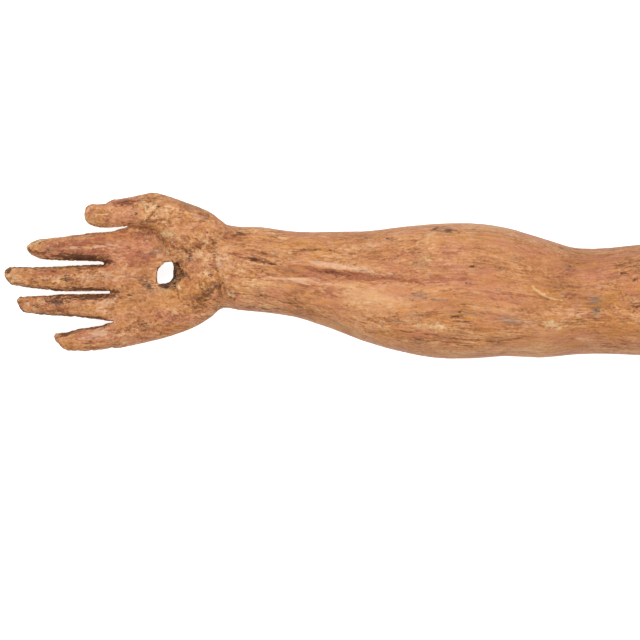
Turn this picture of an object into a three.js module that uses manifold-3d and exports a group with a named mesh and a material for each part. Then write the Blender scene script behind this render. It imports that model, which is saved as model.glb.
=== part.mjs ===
// The outstretched arm of a folk-carved wooden corpus: hand, forearm and upper arm, cut from one length of
// wood and ending in the flat face where it was joined to the shoulder. It lies on its back, palm up.
//
// The form is worked out as a solid of rounded lofts that run along the arm, melted into each other, with
// shallow rises and hollows for muscles, tendons and knuckles. It is then meshed, and the slots between the
// fingers, the nail hole, the joint face and the flats that it lies on are cut with clean tools.
//
// All sizes are in millimetres. "Along" runs from the tip of the middle finger towards the shoulder, "across"
// runs towards the thumb, and "height" is measured from the surface that the arm lies on.

import * as THREE from "three";
import Module from "manifold-3d";
import { mergeVertices } from "three/addons/utils/BufferGeometryUtils.js";

// Driving dimensions.
const HAND_LENGTH = 178;
const FOREARM_LENGTH = 278;
const UPPER_ARM_LENGTH = 240;
const WRIST_AT = HAND_LENGTH;
const ELBOW_AT = WRIST_AT + FOREARM_LENGTH;
const SHOULDER_AT = ELBOW_AT + UPPER_ARM_LENGTH;

// The part's own origin: the middle of the arm's outline, on the surface that it lies on.
const ORIGIN = { along: SHOULDER_AT / 2, across: -2, height: 0 };

// Places along the arm, as a share of each length.
const onHand = (share) => HAND_LENGTH * share;
const onForearm = (share) => WRIST_AT + FOREARM_LENGTH * share;
const onUpperArm = (share) => ELBOW_AT + UPPER_ARM_LENGTH * share;

// A smooth curve through [place, value] points, level beyond both ends: cubic pieces whose slope at each
// point is that of the chord between its neighbours.
function smoothCurve(points) {
  const last = points.length - 1;
  const slopes = points.map((_, i) => {
    const before = points[Math.max(0, i - 1)];
    const after = points[Math.min(last, i + 1)];
    return (after[1] - before[1]) / (after[0] - before[0]);
  });
  return (place) => {
    if (place <= points[0][0]) return points[0][1];
    if (place >= points[last][0]) return points[last][1];
    const i = points.findIndex((point) => point[0] > place) - 1;
    const step = points[i + 1][0] - points[i][0];
    const t = (place - points[i][0]) / step;
    const rise = t * t * (3 - 2 * t);
    return (
      points[i][1] * (1 - rise) +
      points[i + 1][1] * rise +
      slopes[i] * step * t * (1 - t) ** 2 -
      slopes[i + 1] * step * t * t * (1 - t)
    );
  };
}

// A limb: a loft along the arm through sections [place, thumb side, little-finger side, palm side, back].
// Each section is a superellipse between its four sides, and both ends close in a rounded tip. The result
// gives how far a point is outside the limb, and is negative inside.
function limb({ sections, tip, tipLength, heel, heelLength, squareness = 2, tipSquareness = 2, lean = 0 }) {
  const side = (column) => smoothCurve(sections.map((row) => [row[0], row[column]]));
  const [thumbSide, littleSide, palmSide, backSide] = [1, 2, 3, 4].map(side);
  const power = typeof squareness === "number" ? () => squareness : smoothCurve(squareness);
  const tipMiddle = (thumbSide(tip) + littleSide(tip)) / 2;
  return (along, across, height) => {
    const halfWidth = (thumbSide(along) - littleSide(along)) / 2;
    const halfDepth = (palmSide(along) - backSide(along)) / 2;
    const acrossMiddle = across - littleSide(along) - halfWidth;
    const aboveMiddle = height - backSide(along) - halfDepth;
    const n = power(along);
    const share =
      (Math.abs(acrossMiddle / halfWidth) ** n + Math.abs(aboveMiddle / halfDepth) ** n) ** (1 / n);
    const leaned = along + lean * (across - tipMiddle);
    const past = Math.max(
      0,
      (tip + tipLength - leaned) / tipLength,
      (along - heel + heelLength) / heelLength,
    );
    const filled = (share ** tipSquareness + past ** tipSquareness) ** (1 / tipSquareness);
    const reach = share > 1e-6 ? Math.hypot(acrossMiddle, aboveMiddle) / share : halfDepth;
    return (filled - 1) * reach;
  };
}

// The hand's plate, the wrist and the whole arm: one limb.
const PALM_STARTS = onHand(0.45);
const BEYOND_JOINT = 30;
const armAndPalm = limb({
  tip: PALM_STARTS,
  tipLength: 12,
  heel: SHOULDER_AT + BEYOND_JOINT,
  heelLength: BEYOND_JOINT / 2,
  tipSquareness: 2.4,
  squareness: [
    [onHand(0.6), 2.9],
    [onHand(0.85), 2.6],
    [onForearm(0.15), 2.25],
    [onForearm(0.6), 2.15],
    [SHOULDER_AT, 2.2],
  ],
  sections: [
    [PALM_STARTS, 34.5, -58.2, 25, 3.4],
    [onHand(0.55), 36, -56, 26.5, 1.8],
    [onHand(0.65), 38, -52.7, 28.5, 1.6],
    [onHand(0.75), 39, -47.9, 31.5, 2.4],
    [onHand(0.85), 40, -41.2, 36, 4],
    [onHand(0.93), 40, -32.2, 42, 5.5],
    [onHand(0.96), 39.5, -27.2, 44.5, 6.5],
    [onHand(1), 38.8, -26, 48, 7.5],
    [onForearm(0.04), 38.6, -28.4, 51, 7.8],
    [onForearm(0.1), 38.2, -29.8, 54.5, 8],
    [onForearm(0.2), 34.5, -34, 60, 7.5],
    [onForearm(0.3), 34.5, -43, 66, 6.5],
    [onForearm(0.4), 35, -53, 73, 5],
    [onForearm(0.5), 38, -61, 80, 4],
    [onForearm(0.6), 40.5, -66, 86, 3],
    [onForearm(0.7), 41, -66.5, 88, 2.5],
    [onForearm(0.8), 37.5, -64.5, 87, 2],
    [onForearm(0.9), 29.5, -66, 83, 0.5],
    [onForearm(1), 21.5, -63.5, 80, -1],
    [onUpperArm(0.1), 21.5, -63, 81, -1],
    [onUpperArm(0.2), 24, -64, 85, 0],
    [onUpperArm(0.4), 28.5, -65.5, 93, 1.5],
    [onUpperArm(0.6), 32.5, -68, 97, 1.5],
    [onUpperArm(0.8), 36, -70, 97, 0],
    [onUpperArm(1), 38.5, -69.5, 95, -1.2],
  ],
});

// The thumb with the ball of the thumb behind it.
const thumb = limb({
  tip: 63.6,
  tipLength: 7,
  heel: 188,
  heelLength: 26,
  tipSquareness: 2.8,
  squareness: 2.1,
  sections: [
    [63.6, 55.8, 41, 31, 18],
    [72, 57, 38.8, 33, 17],
    [80, 57, 37.8, 34, 15.5],
    [86, 60, 37.6, 35, 14.5],
    [100, 62.2, 38.2, 35.5, 12.5],
    [110, 64.4, 38.2, 36.5, 11],
    [118, 66, 36, 37.5, 10],
    [129, 63.8, 27, 38.2, 9],
    [143, 58.8, 16, 40, 8.5],
    [157, 53.8, 8, 43, 8.5],
    [167, 48.6, 4, 46, 8.5],
    [178, 40.4, 2, 49, 9],
  ],
});

// The four fingers, nearly straight, from their tips into the palm.
const fingers = [
  {
    tip: 16.8,
    tipLength: 13,
    sections: [
      [17, 27.4, 16.2, 20.5, 12.5],
      [30, 29, 13, 23, 11.5],
      [42, 30.4, 12, 24, 10],
      [57, 32, 12, 25, 8.5],
      [71, 34.2, 11.2, 26, 6.5],
      [86, 35.6, 10.4, 26, 5],
    ],
  },
  {
    tip: -0.9,
    tipLength: 10,
    sections: [
      [0, 7.6, -7.4, 19.5, 12],
      [10, 6.4, -9, 21.5, 12],
      [28, 6.2, -11.2, 23.5, 11],
      [42, 6.4, -12.8, 24.5, 9.5],
      [57, 7.4, -13.6, 25, 8],
      [80, 8.4, -12.6, 26, 5],
    ],
  },
  {
    tip: 10.1,
    tipLength: 6,
    lean: 0.32,
    tipSquareness: 3,
    sections: [
      [11, -17.2, -29.6, 20, 12],
      [18, -16.9, -30.3, 21.5, 12],
      [28, -16.6, -31.6, 23, 11],
      [42, -15.4, -32.7, 24.5, 9.5],
      [57, -15, -33.5, 25, 8],
      [81, -14.6, -36.4, 26, 5],
    ],
  },
  {
    tip: 40.3,
    tipLength: 6.5,
    lean: 0.6,
    tipSquareness: 2.8,
    sections: [
      [43, -46.4, -58.6, 19.5, 10.5],
      [50, -45.2, -60.4, 21.5, 10],
      [57, -43.5, -60.9, 22.5, 9],
      [66, -42, -60.9, 23.5, 8],
      [76, -40.4, -59.8, 24.5, 6.5],
      [86, -38, -58.2, 25, 5],
      [104, -35, -53.8, 25.5, 5],
    ],
  },
].map((finger) =>
  limb({ squareness: 2.2, tipSquareness: 2.1, heel: onHand(0.62), heelLength: 12, ...finger }),
);

// Rises and hollows of the skin: from one point to another, how far they spread, and how high they stand.
const reliefs = [
  // Palm side, from the fingers to the wrist: pads below the fingers, heel of the hand, hollow of the palm.
  { from: [94, 28, 26], to: [94, -46, 24], spread: 8, rise: 1.3 },
  { from: [120, -38, 28], to: [158, -26, 36], spread: 15, rise: 3.5 },
  { from: [112, 4, 29], to: [136, -6, 32], spread: 13, rise: -2.4 },
  { from: [134, 18, 36], to: [160, 6, 41], spread: 9, rise: 2.2 },
  { from: [126, 37, 36], to: [116, 34, 32], spread: 7, rise: -1.5 },
  // The furrow at the wrist and the two tendons above it.
  { from: [166, 26, 45], to: [172, -22, 44], spread: 4.5, rise: -1.8 },
  { from: [192, 9, 53], to: [300, 6, 77], spread: 5, rise: 1.8 },
  { from: [192, -7, 53], to: [292, -12, 74], spread: 5, rise: 1.3 },
  { from: [196, 1, 54], to: [400, -8, 88], spread: 5, rise: -1.6 },
  // The two muscle bellies of the forearm, the hollow of the elbow, and the biceps with its side furrows.
  { from: [320, 28, 68], to: [430, 18, 74], spread: 18, rise: 3 },
  { from: [290, -40, 58], to: [425, -44, 70], spread: 20, rise: 2.5 },
  { from: [446, -10, 82], to: [478, -24, 80], spread: 15, rise: -4 },
  { from: [520, -18, 88], to: [650, -14, 97], spread: 26, rise: 3.5 },
  { from: [530, 29, 55], to: [620, 34, 52], spread: 7, rise: -2 },
  { from: [530, -66, 52], to: [620, -69, 50], spread: 7, rise: -2 },
  // The back: heads of the finger bones and their tendons, the two wrist bones, the ulna, the elbow's point.
  ...[24, -2, -26, -48].flatMap((across) => [
    { from: [89, across, 2.5], to: [90, across, 2.5], spread: 7, rise: 3.6 },
    { from: [92, across, 2], to: [162, 8 + across / 4, 4], spread: 3.2, rise: 1.2 },
  ]),
  { from: [190, -16, 13], to: [194, -16, 13], spread: 8, rise: 3 },
  { from: [188, 28, 13], to: [192, 28, 13], spread: 9, rise: 2 },
  { from: [205, -16, 8], to: [430, -30, 4], spread: 8, rise: 1.4 },
  { from: [456, -26, 1], to: [464, -26, 1], spread: 13, rise: 3.5 },
  { from: [490, -8, 0], to: [560, -10, 0], spread: 12, rise: -1.8 },
].map(({ from, to, spread, rise }) => ({
  from: new THREE.Vector3(...from),
  along: new THREE.Vector3(...to).sub(new THREE.Vector3(...from)),
  spread,
  rise,
}));

function reliefAt(along, across, height) {
  let total = 0;
  for (const relief of reliefs) {
    const x = along - relief.from.x;
    const y = across - relief.from.y;
    const z = height - relief.from.z;
    const line = relief.along;
    const share = (x * line.x + y * line.y + z * line.z) / Math.max(1e-9, line.lengthSq());
    const t = Math.min(1, Math.max(0, share));
    const square = (x - t * line.x) ** 2 + (y - t * line.y) ** 2 + (z - t * line.z) ** 2;
    total += relief.rise * Math.exp(-square / relief.spread ** 2);
  }
  return total;
}

// Two forms melted into each other over a width in millimetres.
function melt(a, b, width) {
  const overlap = Math.max(0, width - Math.abs(a - b)) / width;
  return Math.min(a, b) - (overlap * overlap * width) / 4;
}

// How widely the fingers and the ball of the thumb melt into the palm.
const FINGER_MELT = 6;
const thumbMelt = smoothCurve([
  [onHand(0.55), 6],
  [onHand(0.78), 15],
  [onHand(0.88), 12],
  [onHand(1), 5],
]);

// How far a point is outside the carved arm. Past the ball of the thumb there is only the arm.
const HAND_ENDS = onForearm(0.2);
function outside(along, across, height) {
  const body = armAndPalm(along, across, height);
  if (along > HAND_ENDS) return body - reliefAt(along, across, height);
  const digits = Math.min(...fingers.map((finger) => finger(along, across, height)));
  const hand = melt(melt(body, digits, FINGER_MELT), thumb(along, across, height), thumbMelt(along));
  return hand - reliefAt(along, across, height);
}

// Grid lines from one end to the other, whose step changes smoothly with the place.
function gridLines(from, to, stepAt) {
  const lines = [from];
  while (lines.at(-1) < to) lines.push(lines.at(-1) + stepAt(lines.at(-1)));
  return lines;
}

// A point moved straight onto the surface where the distance is nought, by no more than a short way.
const SMALL_STEP = 0.05;
const MOST_MOVED = 2.5;
const LEAST_SLOPE = 0.3;
function ontoSurface(distance, point) {
  const here = distance(...point);
  const slopes = [0, 1, 2].map((axis) => {
    const beside = point.slice();
    beside[axis] += SMALL_STEP;
    return (distance(...beside) - here) / SMALL_STEP;
  });
  const slope = Math.max(LEAST_SLOPE, Math.hypot(...slopes));
  const way = Math.min(MOST_MOVED, Math.max(-MOST_MOVED, here / slope));
  return point.map((value, axis) => value - (way * slopes[axis]) / slope);
}

// A closed mesh of the surface where the distance is nought: one vertex in each grid cell that the surface
// crosses, in the middle of its crossings, and one four-sided face across each grid edge that it crosses.
function meshOf(distance, alongLines, acrossLines, heightLines) {
  const [nx, ny, nz] = [alongLines.length, acrossLines.length, heightLines.length];
  const indexOf = (i, j, k) => (i * ny + j) * nz + k;
  const field = new Float64Array(nx * ny * nz);
  alongLines.forEach((x, i) =>
    acrossLines.forEach((y, j) =>
      heightLines.forEach((z, k) => {
        field[indexOf(i, j, k)] = distance(x, y, z);
      }),
    ),
  );
  const pointAt = (i, j, k) => [alongLines[i], acrossLines[j], heightLines[k]];
  const steps = [
    [1, 0, 0],
    [0, 1, 0],
    [0, 0, 1],
  ];
  const sums = new Map();
  const crossings = [];
  for (let i = 1; i < nx - 1; i++)
    for (let j = 1; j < ny - 1; j++)
      for (let k = 1; k < nz - 1; k++)
        steps.forEach((step, axis) => {
          const a = field[indexOf(i, j, k)];
          const b = field[indexOf(i + step[0], j + step[1], k + step[2])];
          if (a < 0 === b < 0) return;
          const p = pointAt(i, j, k);
          const q = pointAt(i + step[0], j + step[1], k + step[2]);
          const t = a / (a - b);
          const [u, v] = [steps[(axis + 1) % 3], steps[(axis + 2) % 3]];
          const cells = [
            [0, 0],
            [1, 0],
            [1, 1],
            [0, 1],
          ].map(([m, n]) => indexOf(...[i, j, k].map((at, c) => at - m * u[c] - n * v[c])));
          for (const cell of cells) {
            const sum = sums.get(cell) ?? [0, 0, 0, 0];
            for (let c = 0; c < 3; c++) sum[c] += p[c] + t * (q[c] - p[c]);
            sum[3] += 1;
            sums.set(cell, sum);
          }
          crossings.push(a < 0 ? cells : cells.reverse());
        });
  const positions = [];
  const numbers = new Map();
  for (const [cell, [x, y, z, count]] of sums) {
    numbers.set(cell, positions.length / 3);
    positions.push(...ontoSurface(distance, [x / count, y / count, z / count]));
  }
  const apart = (a, b) =>
    Math.hypot(...[0, 1, 2].map((c) => positions[3 * a + c] - positions[3 * b + c]));
  const faces = crossings.flatMap((cells) => {
    const [a, b, c, d] = cells.map((cell) => numbers.get(cell));
    return apart(a, c) < apart(b, d) ? [a, b, c, a, c, d] : [a, b, d, b, c, d];
  });
  const geometry = new THREE.BufferGeometry();
  geometry.setAttribute("position", new THREE.Float32BufferAttribute(positions, 3));
  geometry.setIndex(faces);
  return geometry;
}

const wasm = await Module();
wasm.setup();

function solidOf(geometry) {
  const bare = geometry.clone();
  bare.deleteAttribute("normal");
  bare.deleteAttribute("uv");
  const merged = mergeVertices(bare);
  return new wasm.Manifold(
    new wasm.Mesh({
      numProp: 3,
      vertProperties: new Float32Array(merged.attributes.position.array),
      triVerts: new Uint32Array(merged.index.array),
    }),
  );
}

// A tool that cuts straight down through the hand, with the outline of some [along, across] points.
const CUT_DEPTH = 80;
function downwardTool(outline) {
  const shape = new THREE.Shape(outline.map(([along, across]) => new THREE.Vector2(along, across)));
  const geometry = new THREE.ExtrudeGeometry(shape, { depth: CUT_DEPTH, bevelEnabled: false });
  return solidOf(geometry.translate(0, 0, -CUT_DEPTH / 4));
}

// The slots between the fingers: where each ends, how wide it is there, and where it opens out to. The last
// two are the two stretches of the thumb's slot, which bends and narrows towards its end.
const slots = [
  { end: [77, 10], endWidth: 3, mouth: [44, 10], mouthWidth: 3.6 },
  { end: [84.4, -13.8], endWidth: 2.4, mouth: [44, -14.2], mouthWidth: 2.6 },
  { end: [87, -37.4], endWidth: 1.2, mouth: [62, -38.6], mouthWidth: 6.4 },
  { end: [86, 36.3], endWidth: 3.6, mouth: [64, 35.8], mouthWidth: 5 },
  { end: [98.4, 39], endWidth: 0.9, mouth: [85, 36.3], mouthWidth: 3.6 },
].map(({ end, endWidth, mouth, mouthWidth }) => [
  [mouth[0], mouth[1] - mouthWidth / 2],
  [end[0], end[1] - endWidth / 2],
  [end[0], end[1] + endWidth / 2],
  [mouth[0], mouth[1] + mouthWidth / 2],
]);

// The nail hole: its outline at the back, and the wider, worn outline of its mouth in the palm.
const HOLE_BACK = [
  [120.2, -1.6],
  [120.8, -5.6],
  [123.4, -7.1],
  [128, -6.7],
  [131.4, -5.2],
  [133.8, -2.9],
  [134.4, -0.5],
  [134.4, 3.5],
  [134.4, 9.6],
  [133.2, 10.7],
  [127.8, 10.8],
  [121.2, 4.4],
];
const HOLE_MOUTH = [
  [121.4, -1.6],
  [121.8, -6.6],
  [125.2, -9.6],
  [131.4, -12],
  [137.6, -9.6],
  [139.6, -4.8],
  [145.3, -0.5],
  [141.8, 3],
  [139.3, 9.8],
  [133.6, 11.2],
  [128.2, 11.3],
  [122.4, 5.4],
];
const HOLE_LEVELS = { under: -6, back: 6, mouth: 31, over: 60 };

function nailHoleTool() {
  const rings = [
    [HOLE_BACK, HOLE_LEVELS.under],
    [HOLE_BACK, HOLE_LEVELS.back],
    [HOLE_MOUTH, HOLE_LEVELS.mouth],
    [HOLE_MOUTH, HOLE_LEVELS.over],
  ];
  const corners = HOLE_BACK.length;
  const walls = rings.slice(1).flatMap((_, ring) =>
    HOLE_BACK.flatMap((_, i) => {
      const [a, b] = [ring * corners + i, ring * corners + ((i + 1) % corners)];
      return [a, b, b + corners, a, b + corners, a + corners];
    }),
  );
  const lidOf = (outline) =>
    THREE.ShapeUtils.triangulateShape(
      outline.map(([along, across]) => new THREE.Vector2(along, across)),
      [],
    );
  const bottom = lidOf(HOLE_BACK).flatMap(([a, b, c]) => [a, c, b]);
  const firstOnTop = (rings.length - 1) * corners;
  const top = lidOf(HOLE_MOUTH).flatMap((corner) => corner.map((i) => firstOnTop + i));
  const geometry = new THREE.BufferGeometry();
  const positions = rings.flatMap(([outline, level]) => outline.flatMap(([x, y]) => [x, y, level]));
  geometry.setAttribute("position", new THREE.Float32BufferAttribute(positions, 3));
  geometry.setIndex([...walls, ...bottom, ...top]);
  return solidOf(geometry);
}

// A block used as a saw or a plane, given by its lowest and highest corners.
function block(low, high) {
  const size = high.map((value, i) => value - low[i]);
  const geometry = new THREE.BoxGeometry(...size);
  return solidOf(geometry.translate(...low.map((value, i) => value + size[i] / 2)));
}

// The grid that the form is worked out on: its two far corners, and its steps, which are longer on the arm.
const GRID_FROM = [-8, -80, -12];
const GRID_TO = [SHOULDER_AT + 2 * BEYOND_JOINT, 76, 116];
const STEP_ACROSS = 2.7;
const STEP_UP = 2.9;
const stepAlong = smoothCurve([
  [onHand(1), 2.6],
  [onForearm(0.3), 14],
]);

// How far each pass that merges facets may move the surface: of the whole form, and after the cuts.
const MERGING_PASSES = [0.06, 0.12, 0.18, 0.24];
const LAST_MERGING = 0.05;

function carvedArm() {
  const fine = solidOf(
    meshOf(
      outside,
      gridLines(GRID_FROM[0], GRID_TO[0], stepAlong),
      gridLines(GRID_FROM[1], GRID_TO[1], () => STEP_ACROSS),
      gridLines(GRID_FROM[2], GRID_TO[2], () => STEP_UP),
    ),
  );
  const blank = MERGING_PASSES.reduce((wood, most) => wood.simplify(most), fine);
  const FAR = 300;
  const tools = [
    block([SHOULDER_AT, -FAR, -FAR], [SHOULDER_AT + FAR, FAR, FAR]),
    block([-FAR, -FAR, -FAR], [SHOULDER_AT + FAR, FAR, 0]),
    ...slots.map(downwardTool),
    nailHoleTool(),
  ];
  const carved = tools.reduce((wood, tool) => wood.subtract(tool), blank).simplify(LAST_MERGING);
  const made = carved.getMesh();
  const geometry = new THREE.BufferGeometry();
  geometry.setAttribute("position", new THREE.Float32BufferAttribute(made.vertProperties, 3));
  geometry.setIndex(Array.from(made.triVerts));
  const faceted = geometry.toNonIndexed();
  faceted.computeVertexNormals();
  return faceted;
}

const weatheredWood = new THREE.MeshStandardMaterial({ color: 0xc4895f, roughness: 0.62, metalness: 0 });

const arm = new THREE.Mesh(carvedArm(), weatheredWood);
arm.name = "arm";
arm.position.set(-ORIGIN.along, -ORIGIN.across, -ORIGIN.height);

const corpusArm = new THREE.Group();
corpusArm.add(arm);

export default corpusArm;
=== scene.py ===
"""Looks of a carved corpus arm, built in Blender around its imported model.

The arm lies on its back on a pale table, palm up. Sizes are in millimetres where a name, a comment or a
docstring says so, and in metres elsewhere. Places on the arm are given along it from the fingertips and
across it towards the thumb.
"""
import logging
import math
from dataclasses import dataclass, fields
from enum import Enum
from functools import partial

import bmesh
import bpy
import numpy as np
from bpy.types import Material, Mesh, Node, NodeSocket, NodeTree, Object, bpy_prop_collection
from mathutils import Matrix, Vector


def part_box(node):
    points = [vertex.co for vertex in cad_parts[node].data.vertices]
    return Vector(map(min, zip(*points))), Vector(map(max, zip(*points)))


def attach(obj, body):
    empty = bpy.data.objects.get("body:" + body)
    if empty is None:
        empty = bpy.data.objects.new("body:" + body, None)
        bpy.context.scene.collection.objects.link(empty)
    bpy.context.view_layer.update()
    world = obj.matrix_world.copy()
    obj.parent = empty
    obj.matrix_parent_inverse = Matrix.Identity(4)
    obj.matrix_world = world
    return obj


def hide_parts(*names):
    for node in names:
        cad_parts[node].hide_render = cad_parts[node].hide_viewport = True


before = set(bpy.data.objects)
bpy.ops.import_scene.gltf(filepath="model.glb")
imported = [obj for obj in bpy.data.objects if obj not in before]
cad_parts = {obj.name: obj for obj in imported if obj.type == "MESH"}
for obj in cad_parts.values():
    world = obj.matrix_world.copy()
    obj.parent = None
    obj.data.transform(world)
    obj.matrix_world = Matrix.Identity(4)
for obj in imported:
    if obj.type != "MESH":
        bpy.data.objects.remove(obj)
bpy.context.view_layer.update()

log = logging.getLogger("corpus_arm")

MM = 0.001
TO_MM = (1000.0,) * 3
PER_SQUARE_M = 1e4
FINGERTIPS_AT = -348.0
MIDDLE_LINE_AT = 2.0
NODE_KINDS = ("ShaderNode", "GeometryNode", "FunctionNode", "Node")
Point = tuple[float, float]
Span = tuple[float, float]
Place = tuple[float, float, float]


def linear(hex_colour: str) -> tuple[float, float, float, float]:
    """Turn an sRGB hex colour into linear light.

    Args:
        hex_colour: The colour as "#rrggbb".

    Returns:
        Red, green, blue and an alpha of one.
    """
    parts = [int(hex_colour[i:i + 2], 16) / 255 for i in (1, 3, 5)]
    red, green, blue = (c / 12.92 if c <= 0.04045 else ((c + 0.055) / 1.055) ** 2.4 for c in parts)
    return red, green, blue, 1.0


def add(tree: NodeTree, kind: str, inputs: dict | None = None, **settings) -> Node:
    """Add a node to a tree, with its settings, its values and its links.

    Args:
        tree: The tree that gets the node.
        kind: The end of the node's class name, after one of NODE_KINDS.
        inputs: What goes into its sockets, by identifier, name or number: a value, a socket or a node.
        settings: The node's own properties.

    Returns:
        The new node.
    """
    node = tree.nodes.new(next(start + kind for start in NODE_KINDS if hasattr(bpy.types, start + kind)))
    for name, value in settings.items():
        setattr(node, name, value)
    sockets = {socket.identifier: socket for socket in node.inputs}
    for key, value in (inputs or {}).items():
        socket = sockets[key] if key in sockets else node.inputs[key]
        if isinstance(value, Node):
            value = next(out for out in value.outputs if out.enabled)
        if isinstance(value, NodeSocket):
            tree.links.new(value, socket)
        else:
            socket.default_value = value
    return node


def smooth_step(low: float, high: float, values: np.ndarray) -> np.ndarray:
    """Rise smoothly from nought at one value to one at another."""
    part = np.clip((values - low) / (high - low), 0.0, 1.0)
    return part * part * (3.0 - 2.0 * part)


def points_of(mesh: Mesh, what: str = "co") -> np.ndarray:
    """Read the places or the normals of a mesh's vertices.

    Args:
        mesh: The mesh.
        what: "co" for places or "normal" for normals.

    Returns:
        One row of three numbers for each vertex.
    """
    flat = np.empty(len(mesh.vertices) * 3, np.float32)
    mesh.vertices.foreach_get(what, flat)
    return flat.reshape(-1, 3).astype(float)


def write_points(mesh: Mesh, points: np.ndarray) -> None:
    """Move a mesh's vertices, with one row of three numbers for each."""
    mesh.vertices.foreach_set("co", points.astype(np.float32).ravel())
    mesh.update()


def write_attribute(mesh: Mesh, name: str, values: np.ndarray) -> None:
    """Store one number at each vertex under a name that materials read."""
    attribute = mesh.attributes.new(name, "FLOAT", "POINT")
    attribute.data.foreach_set("value", values.astype(np.float32))


def keep_inside(mesh: Mesh) -> None:
    """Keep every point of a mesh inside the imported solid's box."""
    low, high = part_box("arm")
    write_points(mesh, np.clip(points_of(mesh), np.array(low), np.array(high)))


def plain_mesh(obj: Object) -> None:
    """Turn what an object's modifiers make into its own mesh, and take the modifiers off.

    Args:
        obj: The object.
    """
    graph = bpy.context.evaluated_depsgraph_get()
    seen = obj.evaluated_get(graph)
    made = bpy.data.meshes.new_from_object(seen, preserve_all_data_layers=True, depsgraph=graph)
    obj.modifiers.clear()
    obj.data = made


def new_object(name: str, mesh: Mesh) -> Object:
    """Put a mesh into the scene as an object at the origin.

    Args:
        name: The object's name.
        mesh: Its mesh.

    Returns:
        The object.
    """
    obj = bpy.data.objects.new(name, mesh)
    bpy.context.scene.collection.objects.link(obj)
    return obj


def new_material(name: str) -> tuple[Material, partial]:
    """Start a material.

    Args:
        name: The material's name.

    Returns:
        The material, and what adds a node to its tree.
    """
    material = bpy.data.materials.new(name)
    material.use_nodes = True
    material.node_tree.nodes.clear()
    return material, partial(add, material.node_tree)


@dataclass
class Recipe:
    """A Geometry Nodes tree with named inputs, which ends in Realize Instances and Set Material."""

    name: str
    values: dict[str, float | int | Material]

    def __post_init__(self) -> None:
        """Start the tree, with one input for each value."""
        kinds = {float: "NodeSocketFloat", int: "NodeSocketInt"}
        self.tree = bpy.data.node_groups.new(self.name, "GeometryNodeTree")
        new_socket = self.tree.interface.new_socket
        new_socket("Geometry", in_out="INPUT", socket_type="NodeSocketGeometry")
        for name, value in self.values.items():
            new_socket(name, in_out="INPUT", socket_type=kinds.get(type(value), "NodeSocketMaterial"))
        new_socket("Geometry", in_out="OUTPUT", socket_type="NodeSocketGeometry")
        self.node = partial(add, self.tree)
        self.given = self.node("GroupInput").outputs

    def run(self, obj: Object, made: Node) -> None:
        """End the tree, run it on an object and leave that a plain mesh.

        Args:
            obj: The object.
            made: The node that gives the finished geometry.
        """
        whole = self.node("RealizeInstances", {"Geometry": made})
        dressed = self.node("SetMaterial", {"Geometry": whole, "Material": self.given["Material"]})
        self.node("GroupOutput", {"Geometry": dressed})
        modifier = obj.modifiers.new(self.name, "NODES")
        modifier.node_group = self.tree
        for item in self.tree.interface.items_tree:
            if item.name in self.values:
                modifier[item.identifier] = self.values[item.name]
        plain_mesh(obj)


def distance_to(path: tuple[Point, ...], along: np.ndarray, across: np.ndarray) -> np.ndarray:
    """Measure how far points lie from a path of straight pieces.

    Args:
        path: The path's corners, in millimetres. One corner is a spot.
        along: The points' places along the arm.
        across: Their places across it.

    Returns:
        The distance of each point.
    """
    nearest = np.hypot(along - path[0][0], across - path[0][1])
    for (start_u, start_v), (end_u, end_v) in zip(path, path[1:]):
        step_u = end_u - start_u
        step_v = end_v - start_v
        part = ((along - start_u) * step_u + (across - start_v) * step_v) / (step_u ** 2 + step_v ** 2)
        part = np.clip(part, 0.0, 1.0)
        away = np.hypot(along - start_u - part * step_u, across - start_v - part * step_v)
        nearest = np.minimum(nearest, away)
    return nearest


class Side(Enum):
    """Which face of the arm a mark is on."""

    PALM = 1.0
    BACK = -1.0


@dataclass(frozen=True)
class Cut:
    """A groove, scratch, crease or pit that the carver or time left, or a ridge if its depth is negative."""

    path: tuple[Point, ...]
    width_mm: float
    depth_mm: float
    # How dark the hollow is painted: dirt and painted shade.
    dirt: float = 0.5
    side: Side = Side.PALM
    bare: float = 0.0

    def mark(self, along: np.ndarray, across: np.ndarray, facing: np.ndarray) -> np.ndarray:
        """Say how strongly each point lies in the cut.

        Args:
            along: The points' places along the arm, in millimetres.
            across: Their places across it.
            facing: How far each point's normal turns towards the palm side, from -1 to 1.

        Returns:
            One at the bottom of the cut, falling to nought at its edges.
        """
        part = distance_to(self.path, along, across) / (self.width_mm / 2)
        towards = smooth_step(-0.05, 0.35, facing * self.side.value)
        return np.exp(-(part ** 2) * 1.6) * towards


@dataclass(frozen=True)
class Stain:
    """A patch of colour on the palm side, with how strong each of its coatings is; some patches are painted
    shade and some painted highlights.
    """

    along: float
    across: float
    length_mm: float
    width_mm: float
    turn: float = 0.0
    gesso: float = 0.0
    wash: float = 0.0
    soot: float = 0.0
    dirt: float = 0.0
    worn: float = 0.0
    wax: float = 0.0
    specks: float = 0.0
    grime: float = 0.0
    bright: float = 0.0
    calm: float = 0.0
    lively: float = 0.0

    def cover(self, along: np.ndarray, across: np.ndarray) -> np.ndarray:
        """Say how well the patch covers each point.

        Args:
            along: The points' places along the arm, in millimetres.
            across: Their places across it.

        Returns:
            One in the middle, falling to nought round the patch's oval.
        """
        angle = math.radians(self.turn)
        off_u = along - self.along
        off_v = across - self.across
        lengthwise = (off_u * math.cos(angle) + off_v * math.sin(angle)) / (self.length_mm / 2)
        sideways = (off_v * math.cos(angle) - off_u * math.sin(angle)) / (self.width_mm / 2)
        return np.exp(-(lengthwise ** 2 + sideways ** 2) * 0.9)


# Of these, dirt, soot and wear also paint shade, sheen and highlights at some patches.
COATINGS = ("gesso", "wash", "soot", "dirt", "worn", "wax", "specks", "grime", "bright", "calm", "lively")

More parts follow.
